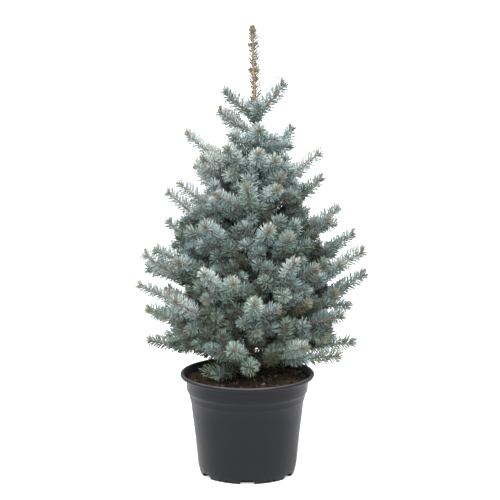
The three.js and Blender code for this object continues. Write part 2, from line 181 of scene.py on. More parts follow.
# The plant's rule, in millimetres as in the solids' source.
gap = 0.3
pot = {"height": 200, "neckRadius": 118, "footRadius": 96, "baseRadius": 90}
notch = {"count": 6, "width": 27, "height": 8.5, "depth": 15}
soil = {"drop": 10, "mound": 4}
trunk = {"flare": 15, "base": 11, "waist": 7.6, "top": 3.4, "tip": 2.3}
leader = {"foot": 715, "tip": 866, "budPairs": [788, 837]}
bough = {"root": 4.6, "slender": 2, "tip": 0.8, "bare": 0.34}
sag = [(380, -0.015), (460, 0.03), (560, 0.07), (640, 0.09), (675, 0.2), (715, 0.12)]
footStep = 5
tipNeedles = 10
twigRule = {"shortest": 38, "lean": 50, "limbAtLeast": 60, "twigAtLeast": 70}
twigRoom = 7
seed = 11
sectors = ["right", "back_right", "back", "back_left", "left", "front_left", "front", "front_right"]
tiers = [
    (700, 0, [(185, 47, 754), (353, 73, 770), (305, 40, 735), (80, 34, 727)]),
    (655, 0, [(172, 58, 714), (12, 92, 642), (288, 75, 690), (80, 76, 664), (238, 62, 677)]),
    (594, 0, [(180, 119, 673), (36, 109, 673), (245, 95, 658), (300, 110, 634)]),
    (550, 0, [(352, 144, 638), (150, 119, 600), (85, 130, 620), (297, 128, 582)]),
    (492, 0, [(192, 136, 579), (270, 130, 589), (5, 147, 583), (130, 150, 575)]),
    (430, 0, [(175, 157, 555), (240, 165, 519), (285, 162, 512), (10, 182, 520), (90, 170, 540)]),
    (365, 0, [(150, 183, 481), (192, 184, 452), (298, 174, 498), (3, 210, 476), (55, 190, 490)]),
    (305, 3, [(182, 202, 436), (245, 200, 437), (298, 195, 457), (358, 227, 444), (95, 200, 440)]),
    (258, 2, [(185, 214, 379), (226, 205, 377), (274, 205, 383),
              (5, 231, 392), (330, 214, 337), (50, 215, 380)]),
    (228, 0, [(180, 195, 263), (262, 190, 290), (356, 211, 262),
              (120, 205, 300), (306, 190, 285), (204, 212, 347)]),
    (212, 0, [(272, 152, 248), (236, 112, 213), (60, 170, 262), (338, 195, 250)]),
]
soilTop = pot["height"] - soil["drop"] + soil["mound"]
trunkFoot = soilTop + gap


def times(a, b):
    return (a * b) & 0xFFFFFFFF


# A number from 0 to 1, always the same for the same limb, twig and trait.
def chance(limb, twig, trait):
    h = times(limb * 7919 + twig * 131 + trait + seed, 0x9E3779B1)
    h = times(h ^ (h >> 15), 0x85EBCA6B)
    h = times(h ^ (h >> 13), 0xC2B2AE35)
    return (h ^ (h >> 16)) / 2 ** 32


def sway(limb, twig, trait):
    return 2 * chance(limb, twig, trait) - 1


# A line through sampled points, read by the share of its length.
class Path:
    def __init__(self, points):
        self.points = np.asarray(points, float)
        steps = np.linalg.norm(np.diff(self.points, axis=0), axis=1)
        self.marks = np.concatenate([[0], np.cumsum(steps)])
        self.length = float(self.marks[-1])
        self.marks /= self.length

    def at(self, t):
        return np.array([np.interp(t, self.marks, self.points[:, i]) for i in range(3)]).T

    def tangent(self, t):
        low, high = max(0.0, t - 0.004), min(1.0, t + 0.004)
        return unit(self.at(high) - self.at(low))

    def stations(self, start, count):
        return self.at(np.linspace(start, 1, count + 1))


def bezier(a, b, c):
    t = np.linspace(0, 1, 61)[:, None]
    return Path((1 - t) ** 2 * a + 2 * t * (1 - t) * b + t * t * c)


# The centripetal curve through the trunk's points.
def throughPoints(points):
    points = [np.array(p, float) for p in points]
    whole = [2 * points[0] - points[1], *points, 2 * points[-1] - points[-2]]
    samples = []
    for i in range(1, len(whole) - 2):
        p0, p1, p2, p3 = whole[i - 1:i + 3]
        d0, d1, d2 = (math.sqrt(np.linalg.norm(q - p)) for p, q in ((p0, p1), (p1, p2), (p2, p3)))
        m1 = ((p1 - p0) / d0 - (p2 - p0) / (d0 + d1) + (p2 - p1) / d1) * d1
        m2 = ((p2 - p1) / d1 - (p3 - p1) / (d1 + d2) + (p3 - p2) / d2) * d1
        for w in np.linspace(0, 1, 60, endpoint=False):
            samples.append(p1 + m1 * w + (3 * p2 - 3 * p1 - 2 * m1 - m2) * w ** 2
                           + (2 * p1 - 2 * p2 + m1 + m2) * w ** 3)
    return Path([*samples, points[-1]])


trunkPath = throughPoints([
    (1, 0, trunkFoot - 4), (10, 0, 420), (17, 2, 610), (14.5, 1, leader["foot"]), (9.5, 0, leader["tip"])])
trunkStops = [
    (trunkFoot, trunk["flare"]), (trunkFoot + 8, trunk["flare"] - 2.6), (trunkFoot + 24, trunk["base"]),
    (430, trunk["waist"]), (610, 5.2), (leader["foot"] - 15, trunk["top"]), (leader["tip"], trunk["tip"]),
]


def trunkAt(height):
    line = trunkPath.points
    return np.array([*(np.interp(height, line[:, 2], line[:, i]) for i in (0, 1)), height])


# All lines' segments in one array, so that many can be measured at once.
def segmentsOf(lines):
    return np.concatenate([line[:-1] for line in lines]), np.concatenate([line[1:] for line in lines])


def nearest(points, segments):
    a, b = segments
    span = b - a
    t = np.einsum("pij,ij->pi", points[:, None] - a[None], span) / np.maximum((span ** 2).sum(1), 1e-9)
    foot = a[None] + np.clip(t, 0, 1)[..., None] * span[None]
    return np.linalg.norm(points[:, None] - foot, axis=2).min(axis=1)


def distances(points, line):
    return nearest(points, (line[:-1], line[1:]))

def othersOf(limb):
    return segmentsOf([other["line"] for other in limbs if other is not limb])

def inTheOpen(points):
    for p in points:
        axis = trunkAt(max(p[2], trunkFoot))
        inside = math.hypot(p[0], p[1]) < pot["neckRadius"] - 12
        floor = soilTop + 14 if inside else pot["height"] + 46
        if p[2] <= floor or math.hypot(p[0] - axis[0], p[1] - axis[1]) <= along(trunkStops, p[2]) + 1:
            return False
    return True


def limbPath(foot, tip):
    middle = foot + 0.55 * (tip - foot)
    middle[2] -= along(sag, tip[2]) * np.linalg.norm(tip - foot)
    end = tip + (middle - tip) * tipNeedles / np.linalg.norm(tip - middle)
    return bezier(foot, middle, end)


limbs = []
for tierNumber, (footHeight, bare, rows) in enumerate(tiers):
    for i, (azimuth, reach, height) in enumerate(rows):
        number = 10 * tierNumber + i
        turn = math.radians(azimuth)
        rank = sum(other[0] < azimuth for other in rows)
        level = (2 * rank) % len(rows) - len(rows) / 2
        foot = trunkAt(footHeight + footStep * level + 2 * sway(number, 0, 1))
        tip = np.array([reach * math.cos(turn), reach * math.sin(turn), height])
        path = limbPath(foot, tip)
        name = f"tier{tierNumber + 1}_{sectors[round(azimuth / 45) % 8]}"
        start = bough["bare"] if i < bare else 0
        limbs.append({
            "number": number, "tier": tierNumber, "name": name, "path": path, "length": path.length,
            "start": start, "key": 0, "order": 0, "stems": [], "line": path.stations(0, 8),
        })


def yearJoints(length, order):
    if order > 0:
        return [] if length < twigRule["twigAtLeast"] else [0.52 * length]
    if length < twigRule["limbAtLeast"]:
        return []
    joints, back, step = [], min(95, 0.62 * length), 54
    while back < 0.88 * length and len(joints) < 4:
        joints.append(back)
        back += step
        step -= 6
    return joints


def twigPath(parent, t, lean, roll, length):
    foot, tangent = parent.at(t), parent.tangent(t)
    side = unit(np.cross(tangent, up))
    lift = np.cross(side, tangent)
    out = side * math.cos(roll) + lift * math.sin(roll)
    heading = tangent * math.cos(lean) + out * math.sin(lean)
    tip = foot + heading * length + tangent * 0.08 * length
    tip[2] += 0.06 * length
    return bezier(foot, foot + 0.5 * length * heading, tip)


def growTwigs(limb, parent, order, others):
    for joint, back in enumerate(yearJoints(parent["length"], order)):
        rolls = [0, 180] if order > 0 else [0, 180, -90] if joint == 0 else [0, 180, 90, -90]
        for i, roll in enumerate(rolls):
            key = 20 * parent["key"] + 1 + 4 * joint + i
            n = limb["number"]
            t = 1 - (back + 7 * sway(n, key, 2)) / parent["length"]
            share = (0.66 if i < 2 else 0.42) * (1 - 0.14 * joint) * (1 + 0.14 * sway(n, key, 3))
            lean = math.radians(twigRule["lean"] + 6 * sway(n, key, 4))
            turn = math.radians(roll + 18 * sway(n, key, 5))
            if order == 0 and t < limb["start"] + 0.04:
                continue
            for cut in (1, 0.85, 0.7, 0.58):
                length = share * (back + 14) * cut
                if length < twigRule["shortest"]:
                    break
                path = twigPath(parent["path"], t, lean, turn, length)
                points = path.stations(0.3, 4)
                clear = distances(points, limb["line"]) + twigRoom < nearest(points, others)
                if clear.all() and inTheOpen(points):
                    twig = {"path": path, "length": length, "key": key, "order": order + 1}
                    limb["stems"].append(twig)
                    growTwigs(limb, twig, order + 1, others)
                    break


for limb in limbs:
    limb["stems"].append(limb)
    growTwigs(limb, limb, 0, othersOf(limb))
coarse = sum(len(limb["stems"]) for limb in limbs)

crown = [(212, 170), (240, 205), (290, 215), (345, 214), (390, 216), (440, 222), (480, 198), (520, 175),
         (560, 150), (600, 140), (640, 122), (680, 92), (710, 76), (760, 66), (876, 20)]


# How far out a point lies, from 0 at the trunk to 1 at the crown's outline.
def outness(point):
    axis = trunkAt(max(point[2], trunkFoot))
    return math.hypot(point[0] - axis[0], point[1] - axis[1]) / along(crown, point[2])


def take(taken, path):
    line = path.stations(0, 4)
    taken[0] = (np.concatenate([taken[0][0], line[:-1]]), np.concatenate([taken[0][1], line[1:]]))


# Finer shoots fill in between the source's twigs, and keep to their own limb's space.
fine = {
    "pitch": 17, "lean": 50, "longest": 58, "shortest": 26, "air": 13, "ownRoom": 2, "reach": 0.52,
    "within": 0.72, "limbTip": 78, "twigTip": 44, "low": 232,
}


def growShoots(limb, parent, others, taken):
    n = limb["number"]
    path, length = parent["path"], parent["length"]
    start = limb["start"] if parent is limb else 0.1
    count = int((1 - start) * length / fine["pitch"])
    for i in range(count):
        key = 1000 + 37 * parent["key"] + i
        back = fine["pitch"] * (i + 0.9 + 0.3 * sway(n, key, 6))
        t = 1 - back / length
        if t < start + 0.04 or back < (fine["limbTip"] if parent["order"] == 0 else fine["twigTip"]):
            continue
        full = min(fine["longest"], fine["reach"] * (back + 12)) * (1 + 0.2 * sway(n, key, 7))
        roll = math.radians(137.5 * i + 40 * chance(n, parent["key"], 8) + 20 * sway(n, key, 9))
        lean = math.radians(fine["lean"] + 8 * sway(n, key, 10))
        for cut in (1, 0.8, 0.62, 0.48):
            size = full * cut
            if size < fine["shortest"]:
                break
            shoot = twigPath(path, t, lean, roll, size)
            points = shoot.stations(0.45, 3)
            crowded = nearest(points, others) < distances(points, limb["line"]) + fine["ownRoom"]
            if not inTheOpen(points) or points[:, 2].min() < fine["low"] or crowded.any():
                continue
            far = shoot.stations(0.7, 2)
            if outness(far[-1]) > fine["within"] or nearest(far, taken[0]).min() < fine["air"]:
                continue
            made = {"path": shoot, "length": size, "key": key, "order": parent["order"] + 1}
            limb["stems"].append(made)
            take(taken, shoot)
            break


taken = [segmentsOf([stem["path"].stations(0, 5) for limb in limbs for stem in limb["stems"]])]
for limb in limbs:
    others = othersOf(limb)
    for stem in sorted(limb["stems"], key=lambda s: s["order"]):
        growShoots(limb, stem, others, taken)

# Short boughs stand on the trunk itself, between the whorls.
trunkNumber = 999
between = {"low": 240, "high": 615, "pitch": 10, "reach": 0.7, "rise": 0.45, "air": 14, "shortest": 34}


def growBetween(taken):
    own = {"number": trunkNumber, "tier": 6, "stems": []}
    for i, height in enumerate(np.arange(between["low"], between["high"], between["pitch"])):
        foot = trunkAt(height)
        out = facing(math.radians(137.5 * i + 25 * sway(trunkNumber, i, 11)))
        for cut in (1, 0.85, 0.7, 0.55, 0.42):
            reach = cut * between["reach"] * along(crown, height + 40) * (1 + 0.12 * sway(trunkNumber, i, 12))
            tip = foot + reach * out + between["rise"] * reach * up
            path = bezier(foot, foot + 0.55 * (tip - foot) - 0.06 * reach * up, tip)
            clear = nearest(path.stations(0.4, 4)[1:], taken[0]).min() > between["air"]
            if clear and path.length > between["shortest"] and inTheOpen(path.stations(0.4, 3)):
                own["stems"].append({"path": path, "length": path.length, "key": 5000 + i, "order": 1})
                take(taken, path)
                break
    return own


# Then whatever room is left among the brushes is filled by a shoot that heads for it.
filler = {
    "pitch": 14, "nearTip": 30, "longest": 58, "shortest": 38, "lean": 50, "air": 16, "midAir": 10,
    "within": [(230, 0.72), (560, 0.66), (640, 0.48), (690, 0.25)],
    "turns": 8, "outward": 0.35, "sag": -0.15,
}


def fillRoom(limb, parent, others, taken):
    n, path, length = limb["number"], parent["path"], parent["length"]
    for i in range(int(length / filler["pitch"])):
        back = filler["pitch"] * (i + 0.5) + filler["nearTip"]
        t = 1 - back / length
        if t < 0.08:
            break
        key = 9000 + 41 * parent["key"] + i
        size = min(filler["longest"], 0.9 * (back + 20)) * (1 + 0.15 * sway(n, key, 14))
        best, bestRoom = None, filler["air"]
        for k in range(filler["turns"]):
            roll = 2 * math.pi * (k + chance(n, key, 15)) / filler["turns"]
            shoot = twigPath(path, t, math.radians(filler["lean"]), roll, max(size, filler["shortest"]))
            points = shoot.stations(0.5, 3)
            heading = unit(points[-1] - path.at(t))
            outward = np.dot(heading[:2], unit(points[-1][:2]))
            if outward < filler["outward"] or heading[2] < filler["sag"] or points[:, 2].min() < fine["low"]:
                continue
            if not inTheOpen(points) or outness(points[-1]) > along(filler["within"], points[-1][2]):
                continue
            room = nearest(points[1:], taken[0]).min()
            if room <= bestRoom or nearest(points[:1], taken[0])[0] <= filler["midAir"]:
                continue
            if others is not None:
                needed = distances(points, limb["line"]) + fine["ownRoom"]
                if (nearest(points, others) <= needed).any():
                    continue
            best, bestRoom = shoot, room
        if best:
            limb["stems"].append({
                "path": best, "length": best.length, "key": key, "order": parent["order"] + 1})
            take(taken, best)


trunkOwn = growBetween(taken)
for stem in list(trunkOwn["stems"]):
    fillRoom(trunkOwn, stem, None, taken)
for limb in limbs:
    others = othersOf(limb)
    for stem in sorted(limb["stems"], key=lambda s: s["order"]):
        fillRoom(limb, stem, others, taken)
whole = sum(len(limb["stems"]) for limb in limbs) + len(trunkOwn["stems"])
total = sum(stem["length"] for limb in [*limbs, trunkOwn] for stem in limb["stems"])
print("stage: rule grown,", coarse, "source stems,", whole, "in all,", round(total / 1000, 1), "m")


def needleMaterial(name, colour, roughness):
    made, nodes, shader = newMaterial(name, roughness, 0.35)
    shader.inputs["Base Color"].default_value = (*colour, 1)
    shader.inputs["Sheen Weight"].default_value = 0.12  # the waxy bloom
    shader.inputs["Sheen Roughness"].default_value = 0.5
    wax = objectNoise(nodes, 420, 2)
    nodes.feed(shader.inputs["Roughness"], ramp(nodes, wax, [
        (0.3, (roughness - 0.1,) * 3), (0.7, (roughness + 0.12,) * 3)]))
    bump(nodes, shader, objectNoise(nodes, 900, 2), 0.15, 0.0003)
    return made


# From the palest bloom to the oldest needles, whose darker tones also serve as painted shade deep in the
# crown, then fresh shoots, the leader, tips and greener low shoots.
needleColours = {
    "frosted": ((0.49, 0.525, 0.5), 0.62),
    "pale": ((0.38, 0.43, 0.413), 0.6),
    "blue": ((0.199, 0.278, 0.274), 0.58),
    "greenBlue": ((0.095, 0.14, 0.124), 0.56),
    "deep": ((0.034, 0.043, 0.024), 0.56),
    "olive": ((0.034, 0.035, 0.012), 0.58),
    "fresh": ((0.29, 0.38, 0.24), 0.55),
    "leader": ((0.12, 0.125, 0.1), 0.6),
    "tip": ((0.175, 0.17, 0.12), 0.6),
    "sage": ((0.18, 0.25, 0.195), 0.6),
}
needleTones = [needleMaterial("needle" + name[0].upper() + name[1:], colour, roughness)
               for name, (colour, roughness) in needleColours.items()]
# The needles' feet take a darker brown: partly the real pegs, partly painted shade in the spray's core.
needlePegAndShade = needleMaterial("needlePegAndShade", (0.21, 0.185, 0.12), 0.7)
toneOf = {name: number for number, name in enumerate(needleColours)}


def makeTwigBark():
    made, nodes, shader = newMaterial("twigBark", 0.75, 0.25)
    nodes.feed(shader.inputs["Base Color"], ramp(nodes, objectNoise(nodes, 160, 4), [
        (0.3, (0.19, 0.145, 0.1)), (0.55, (0.3, 0.235, 0.165)), (0.75, (0.4, 0.33, 0.24))]))
    bump(nodes, shader, objectNoise(nodes, 900, 3), 0.5, 0.0006)
    return made


def makeBudScale():
    made, nodes, shader = newMaterial("budScale", 0.5, 0.4)
    nodes.feed(shader.inputs["Base Color"], ramp(nodes, objectNoise(nodes, 700, 3), [
        (0.3, (0.06, 0.045, 0.032)), (0.7, (0.18, 0.13, 0.085))]))
    bump(nodes, shader, objectNoise(nodes, 1500, 2), 0.4, 0.0004)
    return made


def makeStemBark():
    made, nodes, shader = newMaterial("stemBark", 0.85, 0.2)
    young = nodes.add("ShaderNodeAttribute", attribute_name="young").outputs["Fac"]
    old = ramp(nodes, objectNoise(nodes, 120, 6, roughness=0.7), [
        (0.3, (0.04, 0.03, 0.023)), (0.55, (0.095, 0.07, 0.052)), (0.8, (0.18, 0.145, 0.11))])
    new = ramp(nodes, objectNoise(nodes, 220, 4), [
        (0.3, (0.27, 0.16, 0.088)), (0.7, (0.46, 0.3, 0.175))])
    nodes.feed(shader.inputs["Base Color"], mixColours(nodes, young, old, new))
    bump(nodes, shader, objectNoise(nodes, 700, 5, roughness=0.7), 0.6, 0.0008)
    return made


twigBark, budScale, stemBark = makeTwigBark(), makeBudScale(), makeStemBark()


# Attributes that only steer a tree, and are cleared from what it makes.
steering = ["toTip", "tone", "size", "bare", "mix", "special", "share", "shade", "peg", "thick", "choice"]


# A Geometry Nodes tree with named inputs for its sizes.
class Tree(Nodes):
    def __init__(self, name, sizes):
        super().__init__(bpy.data.node_groups.new(name, "GeometryNodeTree"))
        face = self.tree.interface
        face.new_socket("Geometry", in_out="INPUT", socket_type="NodeSocketGeometry")
        for key, value in sizes.items():
            kind = {"int": "Int", "float": "Float", "Object": "Object"}[type(value).__name__]
            face.new_socket(key, in_out="INPUT", socket_type="NodeSocket" + kind)
        face.new_socket("Geometry", in_out="OUTPUT", socket_type="NodeSocketGeometry")
        self.sizes = sizes
        self.given = self.add("NodeGroupInput").outputs
        self.result = self.add("NodeGroupOutput").inputs["Geometry"]

    def attribute(self, name):
        return self.add("GeometryNodeInputNamedAttribute", {"Name": name}, data_type="FLOAT").outputs[0]

    def random(self, low, high, number):
        made = self.add("FunctionNodeRandomValue", data_type="FLOAT")
        for key, value in (("Min", low), ("Max", high)):
            next(s for s in made.inputs if s.name == key and s.type == "VALUE").default_value = value
        self.feed(made.inputs["Seed"], number)
        return next(s for s in made.outputs if s.type == "VALUE")

    # A random value of its own for each number.
    def draw(self, low, high, number):
        return self.random(low, high, self.math("ADD", self.given["Seed"], number))

    # Sets a material wherever the value compares so with the limit.
    def paint(self, geometry, value, operation, limit, material):
        chosen = self.add("FunctionNodeCompare", data_type="FLOAT", operation=operation)
        self.feed(chosen.inputs[0], value)
        chosen.inputs[1].default_value = limit
        return self.add("GeometryNodeSetMaterial", {
            "Geometry": geometry, "Selection": chosen, "Material": material})

    # Runs the tree on a mesh, and gives back what it makes as a plain mesh.
    def grow(self, mesh, name, **changes):
        carrier = addObject("carrier", mesh)
        modifier = carrier.modifiers.new("grow", "NODES")
        modifier.node_group = self.tree
        sockets = {s.name: s.identifier for s in self.tree.interface.items_tree if s.in_out == "INPUT"}
        for key, value in {**self.sizes, **changes}.items():
            modifier[sockets[key]] = value
        bpy.context.view_layer.update()
        made = bpy.data.meshes.new_from_object(carrier.evaluated_get(bpy.context.evaluated_depsgraph_get()))
        carrier.modifiers.clear()
        bpy.data.objects.remove(carrier)
        made.name = name
        for key in steering:
            if key in made.attributes:
                made.attributes.remove(made.attributes[key])
        return made


needle = {
    "spacing": 0.00036, "length": 0.0206, "width": 0.00093, "lean": 1.2, "tipLean": 0.72,
    "tipRun": 0.009, "parting": -0.2, "underside": 0.5, "tuft": 0.0045,
}
leaderNeedle = {"spacing": 0.00046, "length": 0.018, "width": 0.0008, "lean": 1.0, "tipLean": 0.4}


# One needle a metre long along Z and a metre thick, so that its scale is its size; it bends forward.
def needleShape():
    points, bend = [(0, 0, 0)], 2.8
    for height, radius in ((0.16, 0.8), (0.84, 0.92)):
        for k in range(3):
            turn = 2 * math.pi * k / 3
            points.append((radius * math.cos(turn) - bend * height * height, radius * math.sin(turn), height))
    points.append((-bend, 0, 1))
    faces = [(0, 1 + (k + 1) % 3, 1 + k) for k in range(3)]
    faces += [(1 + k, 1 + (k + 1) % 3, 4 + (k + 1) % 3, 4 + k) for k in range(3)]
    faces += [(4 + k, 4 + (k + 1) % 3, 7) for k in range(3)]
    mesh = smooth(meshFrom("needleShape", points, faces))
    # The three faces at each needle's foot take the peg colour, partly painted shade in the spray's core.
    layer = mesh.attributes.new("peg", "FLOAT", "FACE")
    layer.data.foreach_set("value", [1.0] * 3 + [0.0] * 6)
    return addObject("needleShape", mesh)


def needleTree(shape):
    tree = Tree("needleSprays", {
        "Needle": shape, "Spacing": needle["spacing"], "Length": needle["length"], "Width": needle["width"],
        "Lean": needle["lean"], "Tip Lean": needle["tipLean"], "Tip Run": needle["tipRun"],
        "Parting": needle["parting"], "Underside": needle["underside"], "Tuft": needle["tuft"], "Seed": seed,
    })
    given = tree.given
    curve = tree.add("GeometryNodeMeshToCurve", {"Mesh": given["Geometry"]})
    level = tree.add("GeometryNodeSetCurveNormal", {"Curve": curve}, mode="Z_UP")
    points = tree.add("GeometryNodeCurveToPoints", {"Curve": level, "Length": given["Spacing"]},
                      mode="LENGTH")
    bare = tree.math("LESS_THAN", tree.draw(0.0, 1.0, 1), tree.attribute("bare"))
    kept = tree.add("GeometryNodeDeleteGeometry", {"Geometry": points.outputs["Points"], "Selection": bare})
    toTip = tree.attribute("toTip")
    jitter = tree.draw(-1.0, 1.0, 2)
    plain = tree.math("GREATER_THAN", tree.attribute("mix"), 0.9)
    special = tree.math("LESS_THAN", tree.draw(0.0, 1.0, 7), tree.attribute("share"))
    around = tree.math("MULTIPLY_ADD", tree.add("GeometryNodeInputIndex"), 2.39996,
                       tree.draw(-0.13, 0.13, 3))
    turn = tree.math("MULTIPLY_ADD", tree.math("COSINE", around), given["Parting"], around)
    # Needles on each spray's lower side take a darker tone: painted shade on the underside.
    under = tree.math("MULTIPLY_ADD", tree.math("SINE", turn), given["Underside"], tree.attribute("tone"))
    ground = tree.math("ROUND", tree.math("ADD", under, jitter))
    ground = tree.math("MINIMUM", tree.math("MAXIMUM", ground, 0.0), float(toneOf["olive"]))
    change = tree.math("SUBTRACT", tree.attribute("special"), ground)
    shade = tree.math("MULTIPLY_ADD", change, special, ground)
    tuft = tree.math("MULTIPLY", given["Tuft"], tree.draw(0.0, 1.4, 6))
    atTip = tree.math("MULTIPLY", tree.math("LESS_THAN", toTip, tuft), plain)
    shade = tree.math("MULTIPLY_ADD", tree.math("SUBTRACT", float(toneOf["tip"]), shade), atTip, shade)
    store = tree.add("GeometryNodeStoreNamedAttribute", {"Geometry": kept, "Name": "shade", "Value": shade},
                     data_type="FLOAT", domain="POINT")
    lean = tree.between(toTip, 0.0, given["Tip Run"], given["Tip Lean"], given["Lean"])
    lean = tree.math("ADD", lean, tree.draw(-0.18, 0.18, 4))
    angles = tree.add("ShaderNodeCombineXYZ", {"Y": lean, "Z": turn})
    euler = tree.add("FunctionNodeEulerToRotation", {0: angles})
    rotation = tree.add("FunctionNodeRotateRotation", {
        "Rotation": points.outputs["Rotation"], "Rotate By": euler}, rotation_space="LOCAL")
    length = tree.math("MULTIPLY", given["Length"], tree.attribute("size"))
    length = tree.math("MULTIPLY", length, tree.between(toTip, 0.0, 0.02, 0.8, 1.0))
    length = tree.math("MULTIPLY", length, tree.math("MULTIPLY_ADD", tree.math("SINE", turn), -0.12, 1.0))
    length = tree.math("MULTIPLY", length, tree.draw(0.78, 1.13, 5))
    scale = tree.add("ShaderNodeCombineXYZ", {"X": given["Width"], "Y": given["Width"], "Z": length})
    shapeIn = tree.add("GeometryNodeObjectInfo", {"Object": given["Needle"]})
    placed = tree.add("GeometryNodeInstanceOnPoints", {
        "Points": store, "Instance": shapeIn.outputs["Geometry"], "Rotation": rotation, "Scale": scale})
    last = tree.add("GeometryNodeRealizeInstances", {"Geometry": placed})
    for number, material in enumerate(needleTones):
        last = tree.paint(last, tree.attribute("shade"), "EQUAL", number, material)
    tree.feed(tree.result, tree.paint(last, tree.attribute("peg"), "EQUAL", 1.0, needlePegAndShade))
    return tree


def twigTree():
    tree = Tree("twigTubes", {"Sides": 6})
    curve = tree.add("GeometryNodeMeshToCurve", {"Mesh": tree.given["Geometry"]})
    ring = tree.add("GeometryNodeCurvePrimitiveCircle", {"Resolution": tree.given["Sides"], "Radius": 1.0})
    tube = tree.add("GeometryNodeCurveToMesh", {
        "Curve": curve, "Profile Curve": ring.outputs[0],
        "Scale": tree.attribute("thick"), "Fill Caps": True})
    soft = tree.add("GeometryNodeSetShadeSmooth", {"Geometry": tube, "Shade Smooth": True})
    last = tree.add("GeometryNodeRealizeInstances", {"Geometry": soft})
    tree.feed(tree.result, tree.add("GeometryNodeSetMaterial", {"Geometry": last, "Material": twigBark}))
    return tree


# What each stretch of stem carries. Tones run from pale to old, and sprays deeper in the crown take darker
# tones as painted shade; heights are in millimetres.
sprayRule = {
    "yearLength": 72, "tuftLength": 6, "step": 7,
    "tone": 5.1, "shadeInward": 4.6, "outAtMost": 0.82, "tones": (0.9, 4.8),
    "toneByHeight": [(240, 0.9), (400, 0.45), (500, -0.1), (580, -0.8), (660, -1.5)],
    "specialByHeight": [(200, 0.9), (260, 0.6), (340, 0.3), (420, 0.08)],
    "bareBelow": 540, "bareInside": [(0.13, 0.9), (0.34, 0.65), (0.5, 0.3)], "brownTips": 0.72,
}
yearLength = sprayRule["yearLength"]

def sprayTone(limb, stem, middle, year):
    # Sprays nearer the trunk take darker tones, painted shade inside the crown; later years add real age.
    level = (sprayRule["tone"] - sprayRule["shadeInward"] * min(outness(middle), sprayRule["outAtMost"])
             + 0.9 * year + 0.8 * sway(limb["number"], stem["key"], 20 + year))
    return float(np.clip(level + along(sprayRule["toneByHeight"], middle[2]), *sprayRule["tones"]))


# Low shoots are greener, and a few at the foot are fresh: the tone, and the share of needles that take it.
def specialTone(limb, stem, middle, year):
    n, key = limb["number"], stem["key"]
    often = along(sprayRule["specialByHeight"], middle[2])
    if year or chance(n, key, 31) > often:
        return 0, 0.0
    fresh = limb["tier"] == 10 and chance(n, key, 32) < 0.6
    return (toneOf["fresh"] if fresh else toneOf["sage"]), 0.25 + 0.3 * chance(n, key, 33)


def spraysOf(limb, stem):
    length, path = stem["length"], stem["path"]
    start = limb["start"] if stem is limb else 0.03
    cuts = [start]
    if stem["order"] == 0 and length > 1.4 * yearLength:
        cuts.append(1 - yearLength / length)
        if cuts[-1] * length > 1.5 * yearLength:
            cuts.insert(1, 1 - 2.1 * yearLength / length)
    cuts = [c for i, c in enumerate(cuts) if i == 0 or c > start + 0.05] + [1]
    made = []
    for i, (low, high) in enumerate(zip(cuts, cuts[1:])):
        year = len(cuts) - 2 - i
        middle = path.at(0.5 * (low + high))
        made.append({
            "limb": limb, "stem": stem, "low": low, "high": high, "year": year,
            "tone": sprayTone(limb, stem, middle, year), "special": specialTone(limb, stem, middle, year)})
    return made


def sprayCarrier(sprays):
    points, edges = [], []
    tufts = [{**spray, "low": 1 - sprayRule["tuftLength"] / spray["stem"]["length"]}
             for spray in sprays if spray["high"] == 1]
    columns = {"toTip": [], "tone": [], "special": [], "share": [], "size": [], "bare": [], "mix": []}
    for spray in sprays + tufts:
        path, length = spray["stem"]["path"], spray["stem"]["length"]
        count = max(3, int((spray["high"] - spray["low"]) * length / sprayRule["step"]))
        n, key = spray["limb"]["number"], spray["stem"]["key"]
        size = 1 + 0.09 * sway(n, key, 40) - 0.06 * spray["year"]
        bare = 0.0 if spray["year"] == 0 else 0.14 + 0.16 * spray["year"]
        for i, t in enumerate(np.linspace(spray["low"], spray["high"], count + 1)):
            point = path.at(t)
            if i:
                edges.append((len(points) - 1, len(points)))
            points.append(point * mm)
            out = outness(point)
            columns["toTip"].append((1 - t) * length * mm)
            columns["tone"].append(spray["tone"])
            columns["size"].append(size * (0.8 if t * length < 10 and spray["low"] < 0.05 else 1))
            inside = next((share for limit, share in sprayRule["bareInside"] if out < limit), 0)
            columns["bare"].append(max(bare, inside) if point[2] < sprayRule["bareBelow"] else bare)
            columns["mix"].append(1.0 if outness(path.at(1.0)) > sprayRule["brownTips"] else 0.5)
            columns["special"].append(spray["special"][0])
            columns["share"].append(spray["special"][1])
    return meshFrom("sprayCarrier", points, [], edges, columns)


shape = needleShape()
needleSprays = needleTree(shape)
groups = [  # first and last tier; no tier is 99, so the inner piece is the trunk's own shoots
    ("Inner", 99, 99), ("Top", 0, 4), ("Upper", 5, 5), ("Waist", 6, 6),
    ("Middle", 7, 7), ("Lower", 8, 8), ("Bottom", 9, 10),
]
needlePieces = []
for label, low, high in groups:
    chosen = [limb for limb in limbs if low <= limb["tier"] <= high]
    bearing = chosen or [trunkOwn]
    sprays = [spray for limb in bearing for stem in limb["stems"] for spray in spraysOf(limb, stem)]
    made = needleSprays.grow(sprayCarrier(sprays), "needles" + label, **{"Seed": seed + low})
    piece = addObject("needles" + label, made)
    needlePieces.append((piece, chosen))
    print("stage: needles", label, len(made.polygons) // 9, "needles,", triangles(made), "triangles")


# The leader and the trunk's top carry short grey-olive needles of their own.
def leaderCarrier():
    points, edges = [], []
    columns = {"toTip": [], "special": [], "share": [], "size": [], "bare": []}
    low, high = leader["foot"] - 38, leader["tip"] - 1
    for i, z in enumerate(np.arange(low, high, 5)):
        points.append(trunkAt(z) * mm)
        if i:
            edges.append((i - 1, i))
        columns["toTip"].append((high - z) * mm)
        columns["special"].append(toneOf["leader"])
        columns["share"].append(1.1)
        columns["size"].append(1.0)
        columns["bare"].append(0.1)
    return meshFrom("leaderCarrier", points, [], edges, columns)


